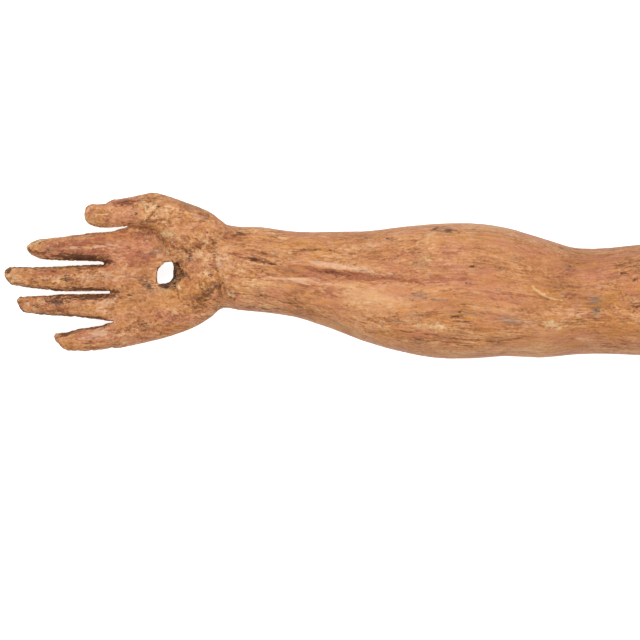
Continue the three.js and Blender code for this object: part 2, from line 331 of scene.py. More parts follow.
HAND_STAINS = (
    # The thumb, from its tip to its fold, and the valley under it.
    Stain(94, 50, 64, 24, 4, lively=0.9, bright=0.3),
    Stain(77, 46, 26, 17, 5, gesso=0.35, wax=0.7, specks=0.75),
    Stain(98, 58.2, 32, 7, 8, dirt=0.65, wash=0.9),
    Stain(88, 41.5, 24, 4, 0, wash=0.5),
    Stain(105.1, 48.7, 3.2, 3, 0, dirt=1.1),
    Stain(101.7, 44.5, 12, 5, 0, wash=0.5, soot=0.35),
    Stain(102.5, 41.4, 10, 2.6, 0, dirt=0.75),
    Stain(111.4, 57.2, 5, 3.6, -60, gesso=1.3),
    Stain(114.6, 53.2, 3, 4.5, 0, wash=0.9, dirt=0.6),
    Stain(118.5, 53, 9, 7, 0, wax=0.5, gesso=0.6),
    Stain(115, 61, 9, 3, 0, dirt=0.7),
    # Painted shade in the valley under the thumb.
    Stain(119, 42, 17, 4.5, 5, soot=0.6, wash=0.5, dirt=0.25),
    Stain(131, 32, 15, 9, -15, gesso=0.9),
    Stain(138, 52, 26, 12, -20, specks=0.5, wax=0.4),
    Stain(153, 38, 36, 18, -25, wax=0.65),
    # Painted shade along the hand's top edge beside the ball of the thumb.
    Stain(150, 54.5, 40, 5, -24, soot=0.75, calm=0.8),
    Stain(156, 38, 26, 12, -35, specks=0.8),
    Stain(161.3, 27, 5, 4, 0, gesso=0.9),
    # The index finger.
    Stain(54, 20, 86, 17, 2, grime=0.65, lively=0.9),
    Stain(60, 26, 50, 7, 8, wash=1.0),
    Stain(66, 19, 56, 6, 0, wash=0.85),
    Stain(92, 20, 20, 13, 0, wash=0.55, worn=0.25),
    Stain(24, 25, 16, 4, 18, gesso=0.9, wax=0.4),
    Stain(28, 25.6, 9, 1.6, 18, dirt=0.8),
    Stain(31, 17.6, 24, 5, -8, dirt=0.7, wash=0.8),
    Stain(68, 24, 60, 10, 4, wash=0.6),
    Stain(36, 20.4, 10, 4.6, 0, soot=0.95, dirt=0.4),
    Stain(19.6, 20, 5, 3, -45, dirt=0.95),
    Stain(43.5, 25.4, 2.6, 2, 0, dirt=1.0),
    Stain(55.5, 28.6, 5, 2, 0, soot=0.6, dirt=0.5),
    # Painted highlight along the index finger's ridge.
    Stain(54, 21.8, 26, 1.9, 0, worn=1.0, calm=0.9, bright=0.3),
    Stain(67, 22.2, 26, 1.7, 3, worn=1.0, calm=0.9, bright=0.3),
    Stain(81, 23.4, 24, 2.4, 5, worn=1.2, calm=0.9, bright=0.3),
    # Painted shade along the finger's lower edge, with some dirt, and at the end of the slot below it.
    Stain(61, 14.0, 46, 6.6, -4, dirt=1.2, grime=0.9),
    Stain(82.5, 10.8, 13, 4.5, 0, dirt=1.1),
    # The middle finger.
    Stain(44, -2, 96, 15, 0, grime=0.7, lively=0.6),
    Stain(22, -1, 38, 12, 0, calm=0.6),
    Stain(36, 2, 46, 5, 0, wash=1.05),
    Stain(3, 3.4, 6, 3, 40, dirt=1.4, soot=0.3),
    Stain(6, -1, 9, 7, -30, gesso=1.0),
    Stain(26, -5.5, 30, 5, -4, wax=0.6),
    Stain(31, 2.6, 36, 3.6, 0, wash=0.9, dirt=0.45),
    # Painted highlight.
    Stain(34, -2.4, 14, 2.4, 0, worn=1.1),
    Stain(48.5, -2.4, 16, 9, 0, soot=0.45, specks=1.2),
    Stain(67, -1.8, 26, 3.6, 15, worn=0.7, soot=0.45),
    Stain(82, -1, 36, 10, 8, worn=0.55, soot=0.25, calm=0.9),
    Stain(64, 4.6, 34, 3, 3, wash=0.85, dirt=0.4),
    Stain(78, -6, 16, 7, 0, wash=0.5),
    Stain(34, 5.6, 60, 1.8, 0, dirt=0.8),
    # Painted shade along the finger's lower edge, and at the end of the slot below it.
    Stain(30, -9.4, 40, 1.6, -6, dirt=0.7),
    Stain(66, -11.2, 46, 3.2, -2, dirt=1.1),
    Stain(88, -13.8, 9, 4, 0, dirt=1.1),
    # The ring finger.
    Stain(50, -23, 84, 15, 0, grime=0.8, lively=0.8),
    Stain(41, -21, 30, 10, -3, specks=1.4, soot=0.35, dirt=0.35),
    Stain(43.2, -17.4, 3.4, 2.4, 0, dirt=1.3),
    Stain(45, -21.4, 3.6, 2.4, 0, dirt=1.3),
    Stain(71, -17.6, 42, 4.6, 3, dirt=1.1),
    Stain(11.8, -24.5, 13, 1.6, -60, dirt=0.65),
    Stain(18, -24, 10, 8, 0, worn=0.5),
    Stain(66, -25.5, 26, 6, 0, wax=0.6),
    # Painted highlight lines.
    Stain(82, -21.5, 22, 4, 10, worn=1.0),
    Stain(82, -24, 48, 12, 6, worn=0.4, calm=0.9, bright=0.3),
    # Painted shade along the finger's lower edge.
    Stain(60, -33, 50, 1.6, -2, dirt=0.7),
    Stain(34, -28.5, 24, 3, -3, wash=0.5),
    # The little finger.
    Stain(66, -51, 60, 15, 4, grime=0.5, lively=0.9),
    Stain(49, -47.6, 20, 3.8, 14, dirt=1.1),
    # Painted highlight, over a little gesso.
    Stain(74, -47, 20, 8, 12, worn=1.2, gesso=0.3, calm=0.7),
    Stain(47, -53, 13, 8, 0, wax=0.75),
    Stain(58.5, -52, 6, 3.5, 0, specks=1.3, dirt=0.3),
    Stain(73, -54, 26, 3.4, 6, wash=0.9, dirt=0.65),
    Stain(66, -58.6, 40, 3, 0, wash=0.6),
    Stain(70, -41.5, 34, 1.8, 12, dirt=0.8),
    # The palm, round the nail hole and down to the heel.
    Stain(104, 14, 36, 15, 0, wash=0.85),
    Stain(98, -0.8, 26, 12, 0, worn=0.45, calm=0.5),
    Stain(118, -22, 34, 16, 0, calm=0.7),
    Stain(100, -16.4, 6, 2.5, -12, dirt=0.9),
    Stain(88, -24, 18, 9, 0, worn=0.4),
    Stain(114.4, -8.6, 10, 6, -50, soot=1.1, dirt=0.85),
    Stain(122, -31, 15, 7, 0, wash=0.6),
    Stain(136, -25.6, 16, 7, 0, wax=0.5),
    Stain(114, -41, 17, 2.5, 3, soot=0.7, dirt=0.5),
    # Painted grey sheen on the top of the palm.
    Stain(122, 18.4, 24, 7, 4, soot=0.85, worn=0.3),
    Stain(130.5, 17.2, 4.5, 7, 0, gesso=0.6, soot=0.5),
    Stain(138.8, -9.7, 4.4, 3.4, -45, gesso=1.6),
    # Painted shade on the nail hole's lower wall and in its depths.
    Stain(127.5, -9, 9, 3, -12, dirt=1.7),
    Stain(137.7, -4, 3.2, 2.2, 0, dirt=1.5),
    Stain(136.4, -6.4, 2.6, 2, 0, dirt=1.4),
    # Painted shade on the nail hole's right wall.
    Stain(137.5, 9.6, 8, 2.4, -8, dirt=0.75),
    Stain(139.4, 6, 8, 3.6, -75, dirt=0.8),
    Stain(145, 18, 18, 5, 5, dirt=0.6, wash=0.3),
    Stain(148.5, 13, 9, 8, 0, specks=1.1, soot=0.7),
    Stain(158, -20, 34, 15, 28, dirt=0.6, wax=0.6, grime=0.6),
    Stain(163, -15, 18, 10, 50, dirt=0.8, grime=0.5, lively=0.8),
    Stain(154, -32, 16, 4, 30, worn=0.6),
    Stain(120, -47, 56, 8, 14, wash=0.55),
    Stain(150, -2.4, 14, 22, 0, wax=0.4, wash=0.3),
    Stain(116, 2.4, 8, 16, 0, wax=0.4, worn=0.3),
)

FOREARM_STAINS = (
    # The wrist.
    Stain(178, 4, 40, 64, 0, lively=0.9),
    Stain(170.6, 14.4, 24, 5, 95, worn=0.9, specks=0.6),
    Stain(176, 10.4, 16, 22, 0, worn=0.5, specks=0.5),
    Stain(165, 4, 5, 34, 4, dirt=0.5, wash=0.5),
    Stain(181, -16.8, 10, 9, 0, gesso=0.65, specks=1.0),
    Stain(183, 29, 22, 13, 0, wash=0.6, dirt=0.35),
    Stain(186.4, 32.6, 17, 6, 0, dirt=0.9),
    Stain(208, -27.6, 54, 5, -6, dirt=0.6),
    Stain(185, 16.4, 18, 2.5, -6, wash=0.9, dirt=0.4),
    Stain(204, 10.8, 46, 3, -13, wash=0.9, dirt=0.95),
    Stain(190, 22.4, 30, 7, 0, wash=0.4),
    Stain(192, 5.6, 34, 9, 0, wash=0.45),
    Stain(194, -11, 24, 8, 0, gesso=0.4, wax=0.5),
    # Bands along the tendons.
    Stain(214, 22, 64, 26, 0, grime=0.35),
    Stain(220, 18.4, 20, 6, 0, gesso=0.5, soot=0.3),
    Stain(249, 20, 34, 1.6, 0, dirt=0.6, wash=0.9),
    Stain(271, 5.6, 68, 4.2, -9, worn=1.2),
    Stain(233, 10.9, 50, 2.5, -5, worn=0.7),
    Stain(266, 0.8, 62, 5.5, -9, wash=1.1, dirt=0.4),
    Stain(264, 1.0, 28, 3.6, -9, dirt=0.8),
    Stain(318, -4.6, 70, 4, -5, wash=0.85, dirt=0.3),
    Stain(222, 6.3, 6, 2, 0, soot=0.6),
    Stain(250, -5.5, 28, 4, -4, worn=0.5),
    Stain(240, -8.6, 36, 3, -5, wash=0.8),
    Stain(235, -4.6, 62, 4.6, -5, worn=0.9, calm=0.7, bright=0.3),
    Stain(298, -19, 82, 18, -8, worn=0.2, wax=0.3, calm=0.9, bright=0.95),
    Stain(260, -12.4, 26, 9, -8, specks=0.6, wash=1.0),
    Stain(212, -17, 62, 20, -8, bright=0.4),
    Stain(205, -17.6, 17, 7, 0, dirt=0.6, wash=0.6),
    Stain(231, -18.3, 20, 5, 0, dirt=0.45),
    Stain(226, -22.4, 32, 4, -4, dirt=0.45),
    Stain(236, -29.6, 46, 4, -14, dirt=0.35),
    Stain(257, -33.2, 44, 1.6, -2, dirt=0.7),
    Stain(264, 20, 80, 20, 0, wax=0.3),
    # The swell of the forearm.
    Stain(293, 24, 20, 9, 0, worn=0.5),
    Stain(290, 28.8, 9, 3, 0, dirt=0.6),
    Stain(308, 28.4, 11, 4, 0, dirt=0.6, wash=0.4),
    Stain(310, 18.4, 26, 6, -10, wash=0.55, wax=0.4),
    Stain(319, 4, 18, 10, 0, specks=0.5),
    Stain(331, -16.8, 17, 5, -6, soot=1.1, dirt=0.4),
    Stain(343, -20, 34, 2.2, -8, soot=1.1),
    Stain(318, -44.8, 28, 3, -5, dirt=0.6, soot=0.4),
    Stain(328, -32.4, 24, 5, 0, soot=0.7),
    Stain(343.4, 36.4, 7, 4, 20, dirt=0.9),
    Stain(353, 35.2, 14, 5, -6, dirt=0.9, soot=0.5),
    Stain(351, 30.6, 15, 4, 0, soot=0.5, worn=0.3),
    Stain(339, 25.6, 12, 15, 0, gesso=0.35, bright=0.6),
    Stain(337, 12, 10, 2.5, -20, gesso=0.7, bright=0.4),
    Stain(350, -3.6, 46, 6, 0, wash=0.8),
    Stain(342, -30, 20, 4, 0, wash=0.9),
    Stain(343, -41, 40, 8, -8, gesso=0.6, wax=0.4, bright=0.45),
    Stain(356, -30, 96, 34, 0, grime=0.4),
    Stain(374, 36.4, 16, 1.5, 0, dirt=0.6),
)

ELBOW_STAINS = (
    # The bulge above the elbow.
    Stain(412, -8, 70, 44, -10, calm=0.55),
    Stain(356, -2, 90, 24, 0, grime=0.28),
    Stain(432, -4, 70, 56, 0, grime=0.28),
    Stain(373, 6.4, 8, 3, 0, dirt=0.75),
    Stain(395, 2.4, 9, 2, -35, dirt=0.6),
    Stain(370, -7, 20, 6, 0, specks=1.0, soot=0.5, wash=0.4),
    Stain(393, -12, 20, 4.4, 0, specks=0.9, soot=0.6, wash=0.4),
    Stain(366, -23.2, 8, 2, 0, dirt=0.6, soot=0.4),
    Stain(362, -29.6, 9, 2, 0, dirt=0.75),
    Stain(360, -33.6, 15, 2, -4, dirt=0.85),
    Stain(372, -31, 40, 2.4, -2, soot=0.9),
    Stain(396, -15, 60, 3, -4, wash=0.8),
    Stain(404, -36, 38, 8, -6, soot=0.8, worn=0.5),
    Stain(386, -43, 54, 8, 0, wax=0.7, wash=0.3),
    Stain(362, -55, 60, 8, 0, wash=0.5),
    Stain(400, 22, 60, 16, -10, calm=0.6, wax=0.3),
    Stain(452, 8, 50, 18, 0, calm=0.7),
    # The elbow, below the scratch.
    Stain(437, -39.6, 21, 8, -20, gesso=0.85, wax=0.3, bright=0.5),
    Stain(438, 16, 24, 10, -10, wash=0.35, specks=0.3),
    Stain(469, -20, 12, 5, 0, soot=1.25),
    Stain(471, -29.6, 13, 6, 0, soot=1.35, dirt=0.6),
    Stain(479, -35, 14, 7, 0, wax=0.9, wash=0.4),
    Stain(450, -18.6, 14, 5, 20, specks=1.0, wash=0.6),
    # A pale patch, lightened as a painted highlight.
    Stain(453, -28, 24, 14, 0, worn=0.45, specks=0.5, bright=0.2),
    Stain(456, -32.8, 3.4, 3, 0, gesso=1.2),
    Stain(447, -16.6, 10, 5, 25, specks=0.9, dirt=0.4, wash=0.6),
    # Painted highlight.
    Stain(461, -51.6, 24, 5, 0, worn=0.65, bright=0.3),
    Stain(440, -47, 50, 10, 0, calm=0.8, soot=0.3),
    Stain(469, 8, 24, 10, 0, wax=0.6),
    Stain(493, 1.2, 18, 7, -12, specks=1.15, dirt=0.35, wash=0.4),
    Stain(502, -4.4, 13, 6, 0, specks=1.15, dirt=0.35),
    Stain(494, -44, 48, 16, 0, wax=0.9, wash=0.2),
    Stain(478, 18.4, 60, 5, 0, soot=0.35),
    Stain(500, -20.8, 14, 4, 0, worn=0.5),
    # The upper arm past the photograph's edge, in the same manner.
    Stain(514, -6, 90, 70, 0, grime=0.45),
    Stain(535, 14, 34, 7, 4, wash=0.6),
    Stain(548, -14, 60, 9, -2, worn=0.5),
    Stain(560, -34, 40, 10, 0, wax=0.5),
    Stain(575, 4, 26, 4, 3, dirt=0.5, soot=0.3),
    Stain(590, -22, 30, 8, -5, gesso=0.5),
    Stain(604, 22, 44, 6, 2, wash=0.5, specks=0.4),
    Stain(618, -42, 36, 9, 0, wash=0.4),
    Stain(632, 2, 40, 9, 0, worn=0.5, gesso=0.2),
    Stain(648, -24, 24, 5, 4, soot=0.7),
    Stain(664, 16, 26, 8, 0, wax=0.5, specks=0.4),
    Stain(676, -8, 18, 12, 0, dirt=0.3, wash=0.4),
)

CUTS = (
    # The thumb's fold, the pale ridge of gesso beside it, and the valley under the thumb.
    Cut(((123.8, 55.2), (120.5, 51), (117.6, 47.8), (115, 45.2)), 2.8, 0.9, 0.6),
    Cut(((112.4, 55), (114.1, 49), (111.6, 43)), 2.4, -0.5, 0.0, bare=0.75),
    Cut(((100, 39.5), (108, 40.5), (118, 41.5), (126, 45)), 5, 0.4, 0.15),
    # The soft edge and the pits beside the nail hole, cracks below it, and the chatter of the knife.
    Cut(((138.6, 9.2), (139.6, 6), (140.6, 2.8)), 4.0, 2.0, 0.7),
    Cut(((141.4, 2.2), (144.4, 0.6), (146.4, -1.4), (147.6, -4.2)), 3.2, 0.8, 0.55),
    Cut(((146, -1.6),), 2.6, 0.8, 0.6),
    Cut(((132.4, -12), (136.8, -9.8)), 1.5, 0.7, 0.7),
    Cut(((137.6, -10.4), (138.2, -14), (139, -18.2)), 1.6, 0.6, 0.55),
    Cut(((129.7, -17.2), (133, -17), (136.6, -17.7)), 1.7, 0.6, 0.7),
    *(Cut(((place, top), (place + 0.7, top - length)), 2.0, 0.5, 0.55)
      for place, top, length in ((155.4, -4.5, 5.5), (157.2, -6, 5), (159.6, -3.5, 6.5), (161.6, -8, 4))),
    # The line round the wrist.
    Cut(((166.4, 26), (168, 18), (167.6, 8)), 3.6, 0.8, 0.4),
    Cut(((169, 3), (171.5, -10), (173.5, -26)), 5, 0.6, 0.25),
    # Grooves between the tendons.
    Cut(((196, 13.6), (205, 12), (216, 7.2)), 3, 0.8, 0.5),
    Cut(((234, 20), (249, 20.4), (264, 19.2)), 2.2, 0.4, 0.4),
    Cut(((236, 4.5), (262, 3), (290, -1), (322, -5)), 8, 0.8, 0.15),
    Cut(((206, -17), (226, -22), (246, -30)), 6, 0.5, 0.3),
    # The scratch above the elbow.
    Cut(((332, -46.6), (364, -51.4), (390, -53.6), (412, -50.4)), 1.7, 0.3, 0.5),
    Cut(((338, -51), (362, -55.8), (378, -57)), 1.6, 0.3, 0.5),
    Cut(((340.5, 34), (344, 37.4), (351, 38.2), (359, 36.2), (362.4, 32.6)), 1.8, 0.3, 0.5),
    Cut(((419.6, -8.8), (423.2, -12.2), (428, -15.4)), 1.9, 0.4, 0.0, bare=1.4),
    Cut(((423.2, -12.2), (427, -14.8), (430, -16.6)), 2.3, 0.4, 0.0, bare=1.5),
    Cut(((430, -16.6), (435, -18.8), (444, -20.4)), 1.4, 0.3, 0.0, bare=1.25),
    # A thin painted shadow below the pale scratch.
    Cut(((422, -14.4), (427, -17.6), (436, -20.8)), 1.6, 0.2, 0.45),
    # Pits and worm holes.
    Cut(((162, 33.6),), 3, 1.2, 0.9),
    Cut(((183.6, -20),), 2.6, 1.0, 0.8),
    Cut(((371.8, 6.6), (374, 6)), 2.6, 0.9, 0.7),
    Cut(((365, -23.4), (367.4, -23.2)), 2.4, 0.6, 0.45),
    Cut(((360, -29.8), (364.6, -29.2)), 2.4, 0.8, 0.6),
    Cut(((356, -34.2), (364.6, -33.2)), 2.4, 1.0, 0.75),
    # Drying checks past the photograph's edge.
    Cut(((548, 8), (585, 11), (630, 9)), 2.4, 1.4, 0.9),
    Cut(((596, -30), (640, -33), (690, -31)), 2.6, 1.6, 0.9),
    # Drying checks on the back.
    Cut(((205, -4), (250, -7), (300, -5)), 2.6, 1.5, 0.9, Side.BACK),
    Cut(((330, 12), (380, 10), (420, 12)), 2.4, 1.2, 0.8, Side.BACK),
    Cut(((500, -14), (560, -18), (620, -15)), 2.6, 1.6, 0.9, Side.BACK),
)


@dataclass
class Nails:
    """The fingernails and knuckle creases, cut as shallow lines into the backs of the fingers."""

    line_width_mm: float = 1.8
    line_depth_mm: float = 0.55
    nail_length_mm: float = 12.0
    crease_depth_mm: float = 0.6
    # Each finger: where its tip is along, its middle across, half its nail's width, and its two joints along.
    fingers: tuple[tuple[float, float, float, tuple[float, ...]], ...] = (
        (16.8, 21.5, 4.2, (43, 66)),
        (-0.9, 0.0, 5.0, (28, 56)),
        (10.8, -24.0, 4.6, (36, 62)),
        (41.6, -52.5, 4.4, (60, 78)),
        (63.6, 48.5, 6.0, (92,)),
    )

    def cuts(self) -> list[Cut]:
        """List the lines of every finger.

        Returns:
            The cuts, all on the back.
        """
        made = []
        for tip, middle, half, joints in self.fingers:
            root = tip + self.nail_length_mm
            outline = ((tip + 2.5, middle + half), (root - 2.5, middle + half), (root, middle + half * 0.55),
                       (root, middle - half * 0.55), (root - 2.5, middle - half), (tip + 2.5, middle - half))
            made.append(Cut(outline, self.line_width_mm, self.line_depth_mm, 0.6, Side.BACK))
            for joint in joints:
                for shift in (-1.8, 1.8):
                    crease = ((joint + shift, middle + half * 0.8), (joint + shift * 1.4, middle),
                              (joint + shift, middle - half * 0.8))
                    made.append(Cut(crease, self.line_width_mm, self.crease_depth_mm, 0.4, Side.BACK))
        return made


@dataclass
class Grain:
    """The weathering of the wood: what Geometry Nodes sink into its surface. Sizes are in millimetres."""

    groove_spacing: float = 3.4
    groove_length: float = 46.0
    groove_depth: float = 0.35
    mottle_size: float = 5.5
    mottle_depth: float = 0.35
    pit_spacing: float = 6.5
    pit_width: float = 1.5
    pit_depth: float = 0.7
    torn_size: float = 3.2
    torn_depth: float = 1.6
    seed: float = 7.0

    def sink(self, obj: Object, material: Material) -> None:
        """Sink grooves along the grain, mottles, pits and torn wood into an object's surface.

        Args:
            obj: The object.
            material: The material that it gets.
        """
        sizes = {field.name.replace("_", " ").capitalize(): getattr(self, field.name)
                 for field in fields(self)}
        recipe = Recipe("weathering", {**sizes, "Material": material})
        node, given = recipe.node, recipe.given
        stored = {name: node("InputNamedAttribute", {"Name": name}, data_type="FLOAT").outputs[0]
                  for name in ("drop", "hand", "open_face", "torn", "cavity")}
        scales = {name: node("Math", {0: 1.0, 1: given[name]}, operation="DIVIDE")
                  for name in ("Mottle size", "Pit spacing", "Torn size")}
        drop = node("CombineXYZ", {1: stored["drop"]})
        place = node("VectorMath", {0: node("InputPosition"), 1: TO_MM, 2: drop}, operation="MULTIPLY_ADD")
        stretch = node("CombineXYZ", {0: given["Groove length"], 1: given["Groove spacing"],
                                      2: given["Groove spacing"]})
        along = node("VectorMath", {0: place, 1: stretch}, operation="DIVIDE")
        lines = node("TexNoise", {"Vector": along, "W": given["Seed"], "Scale": 1.0, "Detail": 2.0,
                                  "Roughness": 0.55, "Distortion": 0.3}, noise_dimensions="4D")
        mottles, shreds = (node("TexNoise", {"Vector": place, "W": given["Seed"], "Scale": scales[name],
                                             "Detail": 2.0, "Roughness": 0.6}, noise_dimensions="4D")
                           for name in ("Mottle size", "Torn size"))

        # Grooves are strongest on the arm and mottles on the hand.
        on_arm = node("Math", {0: 1.0, 1: stored["hand"]}, operation="SUBTRACT")
        depth = 0.0
        for noise, low, high, region, size in ((lines, 0.52, 0.72, on_arm, "Groove depth"),
                                               (mottles, 0.45, 0.75, stored["hand"], "Mottle depth")):
            mark = node("MapRange", {"Value": noise, "From Min": low, "From Max": high})
            part = node("MapRange", {"Value": region, "To Min": 0.3, "To Max": 1.0})
            mark = node("Math", {0: mark, 1: part}, operation="MULTIPLY")
            depth = node("Math", {0: mark, 1: given[size], 2: depth}, operation="MULTIPLY_ADD")
        cells = node("TexVoronoi", {"Vector": place, "W": given["Seed"], "Scale": scales["Pit spacing"]},
                     voronoi_dimensions="4D")
        edge = node("Math", {0: given["Pit width"], 1: given["Pit spacing"]}, operation="DIVIDE")
        pit = node("MapRange", {"Value": cells.outputs["Distance"], "From Min": edge, "From Max": 0.0})
        depth = node("Math", {0: pit, 1: given["Pit depth"], 2: depth}, operation="MULTIPLY_ADD")
        depth = node("Math", {0: depth, 1: stored["open_face"]}, operation="MULTIPLY")

        # Torn wood stands up in places and is sunk in others.
        shred = node("MapRange", {"Value": shreds, "From Min": 0.40, "From Max": 0.64, "To Min": -0.45,
                                  "To Max": 0.55})
        shred = node("Math", {0: shred, 1: stored["torn"]}, operation="MULTIPLY")
        depth = node("Math", {0: shred, 1: given["Torn depth"], 2: depth}, operation="MULTIPLY_ADD")
        # Every groove, mottle and pit also darkens the colour in its hollow, as dirt and painted shade.
        cavity = node("Math", {0: depth, 1: 0.9, 2: stored["cavity"]}, operation="MULTIPLY_ADD")
        marked = node("StoreNamedAttribute", {"Geometry": given["Geometry"], "Name": "cavity",
                                              "Value": cavity}, data_type="FLOAT", domain="POINT")
        inward = node("Math", {0: depth, 1: -MM}, operation="MULTIPLY")
        offset = node("VectorMath", {0: node("InputNormal"), "Scale": inward}, operation="SCALE")
        recipe.run(obj, node("SetPosition", {"Geometry": marked, "Offset": offset}))


class Region(Enum):
    """Where a layer of colour lies."""

    WHOLE = "whole"
    HAND = "hand"
    ARM = "arm"


@dataclass(frozen=True)
class Tone:
    """A noise that makes the wood lighter and darker: its real size in millimetres, and by how much."""

    along: float
    across: float
    amount: float
    region: Region = Region.WHOLE


@dataclass(frozen=True)
class Layer:
    """A colour laid over the wood: a noise of a real size in millimetres, and where it takes hold."""

    colour: str
    along: float
    across: float
    low: float
    high: float
    strength: float
    region: Region = Region.WHOLE
    mask: str = ""
    ragged: float = 3.0


@dataclass(frozen=True)
class WeatheredWood:
    """Softwood, knife-carved along the grain, then gessoed, painted, worn bare and waxed.

    The eye sees warm tan wood with fine lines along the arm, mottled on the hand where carved end grain
    soaked up more wax, with reddish and cream remains of paint, dirt and painted shade in every hollow, and a
    soft sheen on the ridges, partly painted as pale highlights.
    """

    name: str = "old_waxed_weathered_wood"
    # How far the grain wanders from straight, over what sizes, and where the hand ends and the arm starts.
    wander_mm: float = 3.0
    wander_size_mm: tuple[float, float, float] = (90.0, 30.0, 30.0)
    wrist_mm: Span = (-190.0, -150.0)
    roughness: float = 0.58
    middle_tone: float = 0.525
    # The patches where the surface is smooth and where it is rough, and how strong its texture is in each.
    busy_mm: tuple[float, float] = (34.0, 12.0)
    calmest: float = 0.5
    busiest: float = 1.4
    pith_mm: Place = (348.0, -22.0, 12.0)
    ring_mm: float = 3.0
    ring_colour: str = "#8a5a38"
    # From dirt and painted shade in the hollows to wood worn bare.
    stops: tuple[tuple[float, str], ...] = (
        (0.0, "#5e371e"), (0.2, "#8f5a35"), (0.4, "#b67848"),
        (0.55, "#cb8d5c"), (0.75, "#dca573"), (1.0, "#e8bb8c"))
    # The finest real lines are about 0.3 mm wide; these are as coarse as shows.
    tones: tuple[Tone, ...] = (
        Tone(90, 22, 0.6),
        Tone(40, 6, 0.8, Region.ARM),
        Tone(22, 1.7, 1.0, Region.ARM),
        Tone(8, 1.3, 0.9, Region.ARM),
        Tone(2.2, 1.3, 0.95, Region.ARM),
        Tone(24, 12, 1.0, Region.HAND),
        Tone(10, 5, 1.0, Region.HAND),
        Tone(5, 3, 1.1, Region.HAND),
        Tone(2.0, 1.4, 1.7, Region.HAND),
    )
    layers: tuple[Layer, ...] = (
        # Broad tints of the timber and its old finish, from pinkish to golden.
        Layer("#c67c5e", 60, 20, 0.46, 0.64, 0.5),
        Layer("#cf8b40", 40, 16, 0.50, 0.66, 0.4),
        Layer("#a08a6c", 30, 9, 0.58, 0.72, 0.35),
        Layer("#93582f", 14, 6, 0.52, 0.68, 0.5, Region.HAND),
        # Streaks in which the finish has turned golden, red or grey.
        Layer("#d8903c", 12, 2.6, 0.53, 0.68, 0.4),
        Layer("#c4705a", 16, 3.2, 0.55, 0.70, 0.45),
        Layer("#b89484", 7, 1.8, 0.55, 0.70, 0.45),
        # Cracks, pores and raised fibres along the grain of the arm, and pores and knife marks on the hand.
        Layer("#83502f", 12, 1.2, 0.58, 0.70, 0.5, Region.ARM),
        Layer("#6b3f26", 2.4, 1.3, 0.62, 0.70, 0.6, Region.ARM),
        Layer("#e8bd8f", 9, 1.4, 0.60, 0.72, 0.4, Region.ARM),
        Layer("#6b3f26", 2.6, 1.5, 0.57, 0.67, 0.65, Region.HAND),
        Layer("#e6c090", 3.2, 1.6, 0.60, 0.72, 0.45, Region.HAND),
        # Remains of coatings, by the patches on the palm side. The pale wear also paints highlights, the grey
        # soot also paints shade and sheen, the dark dirt also paints shade in the slots, the nail hole and
        # along the fingers' lower edges, and the last darkens every hollow as dirt and painted shade.
        Layer("#c8843a", 8.0, 3.0, 0.30, 0.85, 0.55, mask="wax"),
        Layer("#a3583c", 9.0, 2.0, 0.30, 0.85, 0.7, mask="wash"),
        Layer("#e6b896", 9.0, 1.8, 0.35, 0.85, 0.7, mask="worn"),
        Layer("#e8c493", 4.0, 2.0, 0.35, 0.85, 0.75, mask="gesso"),
        Layer("#857661", 8.0, 1.5, 0.40, 0.95, 0.6, mask="soot"),
        Layer("#5a341f", 5.0, 1.5, 0.35, 0.90, 0.88, mask="dirt"),
        Layer("#4a2c1c", 2.4, 1.3, 0.95, 1.25, 0.8, mask="specks"),
        Layer("#5f3822", 4.0, 1.8, 0.25, 1.00, 0.75, mask="cavity"),
    )

    def noise(self, node: partial, place: Node, along: float, across: float, turn: float) -> Node:
        """Add a noise that is longer in the grain than across it.

        Args:
            node: Adds a node to the material's tree.
            place: The point's place in millimetres.
            along: The noise's size along the grain, in millimetres.
            across: Its size across.
            turn: A number that gives each use its own piece of the noise.

        Returns:
            The noise node.
        """
        scaled = node("VectorMath", {0: place, 1: (along, across, across)}, operation="DIVIDE")
        return node("TexNoise", {"Vector": scaled, "W": 3.7 * turn, "Scale": 1.0, "Detail": 4.0,
                                 "Roughness": 0.6}, noise_dimensions="4D")

    def tone(self, node: partial, place: Node, parts: dict[Region, Node]) -> Node:
        """Add up the tones, the relief, and the hollows' dirt and painted shade.

        Args:
            node: Adds a node to the material's tree.
            place: The point's place in millimetres.
            parts: How much of each region a point has.

        Returns:
            The node with the tone, dark at nought and light at one.
        """
        value = self.middle_tone
        for number, tone in enumerate(self.tones):
            noise = self.noise(node, place, tone.along, tone.across, number + 0.5)
            half = tone.amount / 2
            spread = node("MapRange", {"Value": noise, "To Min": -half, "To Max": half})
            if tone.region in parts:
                spread = node("Math", {0: spread, 1: parts[tone.region]}, operation="MULTIPLY")
            value = node("Math", {0: value, 1: spread}, operation="ADD")
        # The relief lightens ridges, partly as wear and partly as painted highlight, and darkens hollows as
        # painted shade.
        relief = node("Attribute", attribute_name="relief").outputs["Fac"]
        lift = node("MapRange", {"Value": relief, "From Min": -0.3, "From Max": 0.3, "To Min": -0.16,
                                 "To Max": 0.12})
        value = node("Math", {0: value, 1: lift}, operation="ADD")
        # The hollows are darkened as dirt and painted shade; bright lightens patches, some of them painted
        # highlights.
        for name, amount in (("cavity", -0.3), ("grime", -0.3), ("bright", 0.3)):
            fitted = node("Attribute", attribute_name=name).outputs["Fac"]
            value = node("Math", {0: fitted, 1: amount, 2: value}, operation="MULTIPLY_ADD")
        return value

    def end_grain(self, node: partial, in_mm: Node, colour: Node) -> Node:
        """Lay the growth rings and the saw's darker tint over the joint face.

        Args:
            node: Adds a node to the material's tree.
            in_mm: The point's place in millimetres.
            colour: The colour under them.

        Returns:
            The node with the colour over them.
        """
        face = node("Attribute", attribute_name="end_grain").outputs["Fac"]
        from_pith = node("VectorMath", {0: in_mm, 1: self.pith_mm}, operation="SUBTRACT")
